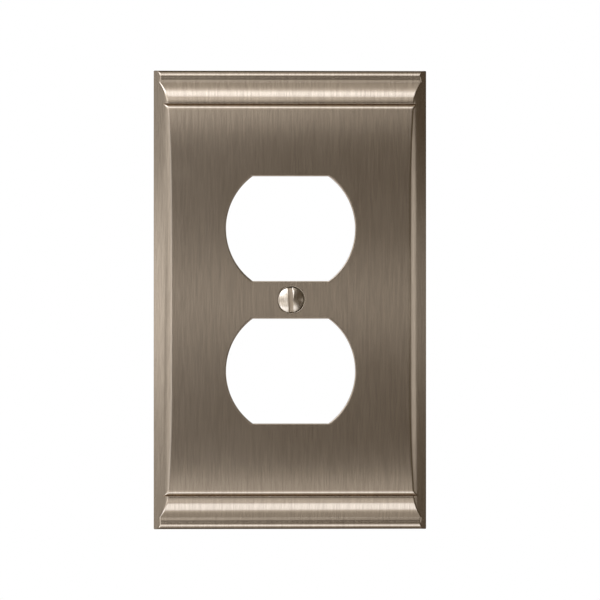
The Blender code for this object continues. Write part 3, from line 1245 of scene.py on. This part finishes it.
@dataclass
class RetainingWasher:
    """The thin fibre washer that keeps the screw in the plate, punched from sheet."""

    back: float
    front: float
    outer_radius: float
    hole_radius: float = 1.8126 * MM
    burr: float = 0.06 * MM
    dishing: float = 0.018 * MM
    cut_band: float = 1 / 8
    sharp_angle: float = math.radians(50)
    columns: int = 96

    @classmethod
    def from_frame(cls) -> "RetainingWasher":
        """Takes the washer's faces and radius from the CAD washer."""
        low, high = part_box("retaining_washer")
        return cls(back=-high.y, front=-low.y, outer_radius=(high.x - low.x) / 2)

    def build(self) -> bpy.types.Object:
        """Carries the washer's section round the screw's axis.

        The punch rolls the front edges over and leaves the back edges squarer. The washer is bent by
        the dishing times the sine of the way from the hole to the rim times the cosine of twice the
        angle round the axis. The cut share grows over the last cut band of the way from the middle.

        Returns:
            The washer's object.
        """
        hole, rim, burr = self.hole_radius, self.outer_radius, self.burr
        middle, back, front = (hole + rim) / 2, self.back, self.front
        quarter, far = (3 * hole + rim) / 4, (hole + 3 * rim) / 4
        inside, outside = (hole, (back + front) / 2), (rim, (back + front) / 2)
        back_face = [(hole, back + burr / 2), (hole + burr / 2, back), (quarter, back), (middle, back)]
        back_face += [(far, back), (rim - burr / 2, back), (rim, back + burr / 2)]
        front_face = [(rim, front - burr), (rim - 0.3 * burr, front - 0.3 * burr), (rim - burr, front)]
        front_face += [(far, front), (middle, front), (quarter, front), (hole + burr, front)]
        front_face += [(hole + 0.3 * burr, front - 0.3 * burr), (hole, front - burr)]
        section = np.array([*back_face, outside, *front_face, inside])
        angle = np.linspace(0, math.tau, self.columns, endpoint=False)
        radius, height = np.vstack([section, section[:1]]).T[:, :, None]
        bow = np.sin(np.clip((radius - hole) / (rim - hole), 0, 1) * math.pi)
        height = height + self.dishing * bow * np.cos(2 * angle)
        cut = np.clip((np.abs(radius - middle) / (rim - middle) - 1) / self.cut_band + 1, 0, 1)
        skin = Skin()
        skin.add(as_points(radius * np.cos(angle), radius * np.sin(angle), height, cut), closed=True)
        return skin.sew("fibre_washer", self.sharp_angle)

    def dress(self, piece: bpy.types.Object) -> None:
        """Gives the washer its fibre finish and its place among the CAD bodies.

        Args:
            piece: The washer's object.
        """
        piece.data.materials.append(VulcanisedFibre().material())
        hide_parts("retaining_washer")
        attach(piece, "washer")


# Finishes


@dataclass(frozen=True)
class BrushedSatinNickel:
    """Bright nickel electroplated on cast zinc, brushed up the plate with a belt, then lacquered.

    The belt's scratches all run up the plate, so reflections smear sideways and stay crisp up and
    down, and faint upright streaks show where single grits cut deeper. Nickel is a warm grey. The
    hollow back is plated but never brushed, so it stays dull and evenly pebbled from the die. Its
    darker colour is also laid in the countersink as painted shade for the gap round the screw's head.
    """

    colour: str = "CCBFAF"
    deep_scratch: str = "BCAFA0"
    # The back's dull plating; the countersink takes it too, as painted shade
    as_cast_and_shade: str = "918470"
    roughness: float = 0.2
    roughness_drift: float = 0.006
    edge_polish: float = 0.06
    cast_roughness: float = 0.55
    anisotropy: float = 0.9
    # The real scratches are 0.03 to 0.06 mm apart, too fine to show, so they are drawn coarser
    scratch_size: tuple[float, float, float] = (0.25 * MM, 2.5 * MM, 6 * MM)
    streak_size: tuple[float, float, float] = (0.9 * MM, 9 * MM, 16 * MM)
    streak_share: float = 0.12
    cloud_size: tuple[float, float, float] = (14 * MM, 14 * MM, 14 * MM)
    pebble_size: tuple[float, float, float] = (0.5 * MM, 0.5 * MM, 0.5 * MM)
    # Noise gathers round its middle, so only this much of its range is used
    depth_range: tuple[float, float] = (0.35, 0.65)
    cloud_range: tuple[float, float] = (0.3, 0.7)
    relief: float = 0.0012 * MM

    def material(self) -> bpy.types.Material:
        """Builds the finish.

        Returns:
            The material.
        """
        material, tree = new_material("brushed_satin_nickel")
        coarse = {"Detail": 2.0, "Roughness": 0.6}
        scratch = grains(tree, self.scratch_size, {"Detail": 3.0, "Roughness": 0.6})
        streak = grains(tree, self.streak_size, coarse)
        cloud = grains(tree, self.cloud_size, coarse)
        pebble = grains(tree, self.pebble_size, coarse)
        edge, cast = share_of(tree, "edge"), share_of(tree, "as_cast_and_shade")

        # Deep scratches hold less light, and the back's plating is darker than both. In the countersink
        # that darker colour is painted shade for the gap round the screw's head
        depth = mix_values(tree, self.streak_share, scratch, streak)
        metal = mix_colours(tree, remap(tree, depth, self.depth_range), self.deep_scratch, self.colour)
        colour = mix_colours(tree, cast, metal, self.as_cast_and_shade)

        # The belt's pressure drifts over the plate, and handling polishes its edges
        spread = (self.roughness - self.roughness_drift, self.roughness + self.roughness_drift)
        drift = remap(tree, cloud, self.cloud_range, spread)
        worn = add_node(
            tree,
            "ShaderNodeMath",
            {"operation": "MULTIPLY_ADD"},
            values={1: -self.edge_polish},
            links={0: edge, 2: drift},
        ).outputs["Value"]
        roughness = mix_values(tree, cast, worn, self.cast_roughness)

        normal = bumped(tree, mix_values(tree, cast, depth, pebble), self.relief)
        grain = add_node(tree, "ShaderNodeTangent", {"direction_type": "UV_MAP", "uv_map": "grain"})
        lay_surface(
            tree,
            {"Metallic": 1.0, "Anisotropic": self.anisotropy},
            {
                "Base Color": colour,
                "Roughness": roughness,
                "Normal": normal,
                "Tangent": grain.outputs["Tangent"],
            },
        )
        return material


@dataclass(frozen=True)
class PlatedSteel:
    """Nickel electroplated on a cold-headed, slotted steel screw, its head brushed along the slot.

    The head is brighter than the plate, with a few coarse scratches beside the slot, and the sawn
    slot is duller.
    """

    lean: float
    colour: str = "DDD3C6"
    scratched: str = "B9AC9C"
    sawn: str = "C4B6A4"
    smooth_roughness: float = 0.21
    scratched_roughness: float = 0.29
    sawn_roughness: float = 0.5
    scratch_size: tuple[float, float, float] = (0.22 * MM, 2.4 * MM, 2.4 * MM)
    depth_range: tuple[float, float] = (0.35, 0.6)
    relief: float = 0.006 * MM

    def material(self) -> bpy.types.Material:
        """Builds the finish.

        Returns:
            The material.
        """
        material, tree = new_material("nickel_plated_steel")
        scratch = grains(tree, self.scratch_size, {"Detail": 3.0, "Roughness": 0.65}, self.lean)
        sawn = share_of(tree, "as_cast_and_shade")
        metal = mix_colours(tree, remap(tree, scratch, self.depth_range), self.scratched, self.colour)
        brushed = remap(tree, scratch, target=(self.scratched_roughness, self.smooth_roughness))
        lay_surface(
            tree,
            {"Metallic": 1.0},
            {
                "Base Color": mix_colours(tree, sawn, metal, self.sawn),
                "Roughness": mix_values(tree, sawn, brushed, self.sawn_roughness),
                "Normal": bumped(tree, scratch, self.relief),
            },
        )
        return material


@dataclass(frozen=True)
class VulcanisedFibre:
    """Red vulcanised fibre, punched from sheet.

    Its faces are calendered to a low sheen over a felt of short fibres, and the punched edges are
    paler and rougher where the fibres are torn.
    """

    colour: str = "7A2A1C"
    dark_fibre: str = "5A1D14"
    cut_edge: str = "9A4A36"
    face_roughness: float = 0.5
    cut_roughness: float = 0.85
    index: float = 1.52
    fibre_size: tuple[float, float, float] = (0.09 * MM, 0.09 * MM, 0.6 * MM)
    relief: float = 0.02 * MM

    def material(self) -> bpy.types.Material:
        """Builds the finish.

        Returns:
            The material.
        """
        material, tree = new_material("vulcanised_fibre")
        fibres = grains(tree, self.fibre_size, {"Detail": 4.0, "Distortion": 1.5})
        cut = share_of(tree, "edge")
        sheet = mix_colours(tree, fibres, self.dark_fibre, self.colour)
        lay_surface(
            tree,
            {"IOR": self.index},
            {
                "Base Color": mix_colours(tree, cut, sheet, self.cut_edge),
                "Roughness": remap(tree, cut, target=(self.face_roughness, self.cut_roughness)),
                "Normal": bumped(tree, fibres, self.relief),
            },
        )
        return material


# The studio

# How far the soft boxes stand from the plate, which is far enough for one light to suit all of it
STAND_OFF = 0.7

# Lamps behind bare cloth are a little warm, and those behind a blue gel a little cool
WARM = "FFFCF8"
COOL = "E6EFFF"


def hang(
    name: str, data: bpy.types.ID, target: Vector, away: Vector, distance: float
) -> bpy.types.Object:
    """Puts a light or a camera in front of a target, facing it.

    Args:
        name: The object's name.
        data: The light or the camera.
        target: The point that it faces.
        away: Direction from the target to it.
        distance: How far away it is.

    Returns:
        The object.
    """
    made = bpy.data.objects.new(name, data)
    made.location = target + away * distance
    made.rotation_mode = "QUATERNION"
    made.rotation_quaternion = (-away).to_track_quat("-Z", "Y")
    bpy.context.scene.collection.objects.link(made)
    return made


@dataclass(frozen=True)
class SoftBox:
    """A rectangular light that faces the plate, named for where it stands.

    Its bearing is measured in degrees from straight in front to the right, and its rise from level.
    """

    name: str
    bearing: float
    rise: float
    width: float
    depth: float
    radiance: float
    colour: str

    @classmethod
    def span(
        cls,
        name: str,
        bearings: tuple[float, float],
        rises: tuple[float, float],
        radiance: float,
        colour: str = "FFFFFF",
    ) -> "SoftBox":
        """Sizes a light to reach from one bearing and rise to another, as the plate sees it.

        Args:
            name: Where it stands.
            bearings: Its left and right ends.
            rises: Its lower and upper ends.
            radiance: How bright its face is, white paper in full light being one.
            colour: Its light's colour.

        Returns:
            The light.
        """
        middle = [(low + high) / 2 for low, high in (bearings, rises)]
        angles = [math.radians(high - low) for low, high in (bearings, rises)]
        reach = [2 * STAND_OFF * math.tan(angle / 2) for angle in angles]
        return cls(name, *middle, *reach, radiance, colour)

    def place(self, target: Vector) -> bpy.types.Object:
        """Hangs the light.

        Args:
            target: The point that it faces.

        Returns:
            The light's object.
        """
        bearing, rise = math.radians(self.bearing), math.radians(self.rise)
        level = Vector((math.sin(bearing), -math.cos(bearing), 0))
        away = level * math.cos(rise) + Vector((0, 0, math.sin(rise)))
        lamp = bpy.data.lights.new(self.name, "AREA")
        lamp.shape = "RECTANGLE"
        lamp.size = self.width
        lamp.size_y = self.depth
        lamp.color = linear(self.colour)[:3]
        lamp.energy = self.radiance * math.pi * self.width * self.depth
        made = hang(self.name, lamp, target, away, STAND_OFF)
        made.visible_camera = False
        return made


# A dim, wide box with brighter, narrower ones at its middle falls off softly, as one lamp behind
# cloth does. The key boxes hang above, mostly to the left, the fill boxes below, and the panels and
# flanks at the sides. The sill is a thin strip level with the plate, and the back panel is behind it.
SOFT_BOXES = [
    SoftBox.span("sill", (-65, 40), (-0.8, 0.8), 0.52, WARM),
    SoftBox.span("key_low", (-70, -10), (12.5, 18), 0.2),
    SoftBox.span("key_wide", (-70, 7), (9, 66), 0.56, WARM),
    SoftBox.span("key_top", (-70, 7), (66, 88), 0.46, WARM),
    SoftBox.span("key_middle", (-70, 7), (18, 60), 0.36),
    SoftBox.span("key_core", (-70, 7), (32, 52), 1.0, COOL),
    SoftBox.span("fill_low", (-60, 26), (-18, -12), 0.1),
    SoftBox.span("fill_wide", (-60, 26), (-66, -9), 0.42, WARM),
    SoftBox.span("fill_bottom", (-60, 26), (-88, -66), 0.36, WARM),
    SoftBox.span("fill_middle", (-60, 26), (-60, -18), 0.26),
    SoftBox.span("fill_core", (-60, 26), (-54, -30), 1.0, COOL),
    SoftBox.span("left_panel", (-70, -10), (-20, 20), 0.6),
    SoftBox.span("left_panel_near", (-32, -10), (-20, 20), 0.3, COOL),
    SoftBox.span("left_flank", (-120, -70), (-20, 20), 0.3),
    SoftBox.span("left_flank_middle", (-116, -80), (-2.5, 2.5), 0.65),
    SoftBox.span("left_corner_above", (-65, -30), (22, 50), 2.0, COOL),
    SoftBox.span("left_corner_below", (-65, -45), (-48, -25), 0.6, COOL),
    SoftBox.span("right_panel", (45, 85), (-6, 6), 0.18, WARM),
    SoftBox.span("right_panel_far", (55, 82), (-5, 5), 0.55),
    SoftBox.span("right_flank_middle", (85, 120), (-2.5, 2.5), 0.25),
    SoftBox.span("back_panel", (130, 230), (-40, 40), 0.8),
]


@dataclass
class Studio:
    """A pale floor with its own light far below the plate, a white surround, and a long lens."""

    target: Vector
    room_light: float = 0.105
    room_colour: str = "FFE6C4"
    floor_drop: float = 1.2
    floor_size: float = 6.0
    floor_colour: str = "E4E2DE"
    floor_roughness: float = 0.8
    wash_height: float = 0.4
    wash_radiance: float = 1.1
    frame_width: float = 164.1 * MM
    camera_distance: float = 1.7
    camera_bearing: float = math.radians(-2.4)
    frame_offset: tuple[float, float] = (2.66 * MM, -0.02 * MM)

    def lay_floor(self) -> bpy.types.Object:
        """Lays the floor, square with the wall.

        It is left out of mirror reflections, so the metal reflects the dim room below it.

        Returns:
            The floor's object.
        """
        half = self.floor_size / 2
        level = self.target.z - self.floor_drop
        corners = [(-half, -half), (half, -half), (half, half), (-half, half)]
        mesh = bpy.data.meshes.new("floor")
        mesh.from_pydata([(x, y, level) for x, y in corners], [], [(0, 1, 2, 3)])
        material, tree = new_material("matt_painted_floor")
        lay_surface(tree, {"Base Color": linear(self.floor_colour), "Roughness": self.floor_roughness})
        mesh.materials.append(material)
        made = bpy.data.objects.new("floor", mesh)
        made.visible_glossy = False
        bpy.context.scene.collection.objects.link(made)
        return made

    def wash_floor(self) -> bpy.types.Object:
        """Hangs one wide light low over the floor, facing down, so that it lights nothing else.

        Returns:
            The light's object.
        """
        lamp = bpy.data.lights.new("floor_wash", "AREA")
        lamp.size = self.floor_size
        lamp.energy = self.wash_radiance * math.pi * self.floor_size**2
        made = bpy.data.objects.new("floor_wash", lamp)
        made.location = self.target - Vector((0, 0, self.floor_drop - self.wash_height))
        made.visible_camera = False
        bpy.context.scene.collection.objects.link(made)
        return made

    def light_room(self) -> None:
        """Makes the surround white behind the object and softly dim where metal reflects it."""
        world = bpy.data.worlds.new("studio_room")
        world.use_nodes = True
        tree = world.node_tree
        tree.nodes.clear()
        seen = add_node(tree, "ShaderNodeLightPath").outputs["Is Camera Ray"]
        dim = {"Color": linear(self.room_colour), "Strength": self.room_light}
        room = add_node(tree, "ShaderNodeBackground", values=dim)
        bright = {"Color": linear("FFFFFF"), "Strength": 1.0}
        white = add_node(tree, "ShaderNodeBackground", values=bright)
        sockets = {0: seen, 1: room.outputs[0], 2: white.outputs[0]}
        mix = add_node(tree, "ShaderNodeMixShader", links=sockets)
        add_node(tree, "ShaderNodeOutputWorld", links={"Surface": mix.outputs[0]})
        bpy.context.scene.world = world
        bpy.context.scene.view_settings.view_transform = "Standard"

    def set_camera(self) -> bpy.types.Object:
        """Sets a long lens a little left of square on, level with the plate's middle.

        Returns:
            The camera's object.
        """
        lens = bpy.data.cameras.new("camera")
        lens.lens = lens.sensor_width * self.camera_distance / self.frame_width
        lens.clip_start = 0.05
        lens.clip_end = 20
        away = Vector((math.sin(self.camera_bearing), -math.cos(self.camera_bearing), 0))
        aim = self.target + Vector((self.frame_offset[0], 0, self.frame_offset[1]))
        made = hang("camera", lens, aim, away, self.camera_distance)
        bpy.context.scene.camera = made
        return made


def main() -> None:
    """Builds the plate, the screw and the washer, then the studio round them."""
    logging.basicConfig(level=logging.INFO, format="%(message)s")
    plate = CoverPlate.from_frame()
    parts = [plate, MountingScrew.from_frame(plate.crown), RetainingWasher.from_frame()]
    for part in parts:
        piece = part.build()
        part.dress(piece)
        mesh = piece.data
        log.info("%s: %d points, %d faces", piece.name, len(mesh.vertices), len(mesh.polygons))

    studio = Studio(target=Vector((0, -plate.crown / 2, 0)))
    studio.lay_floor()
    studio.wash_floor()
    studio.light_room()
    studio.set_camera()
    for box in SOFT_BOXES:
        box.place(studio.target)
    log.info("studio: %d soft boxes", len(SOFT_BOXES))


if __name__ == "__main__":
    main()
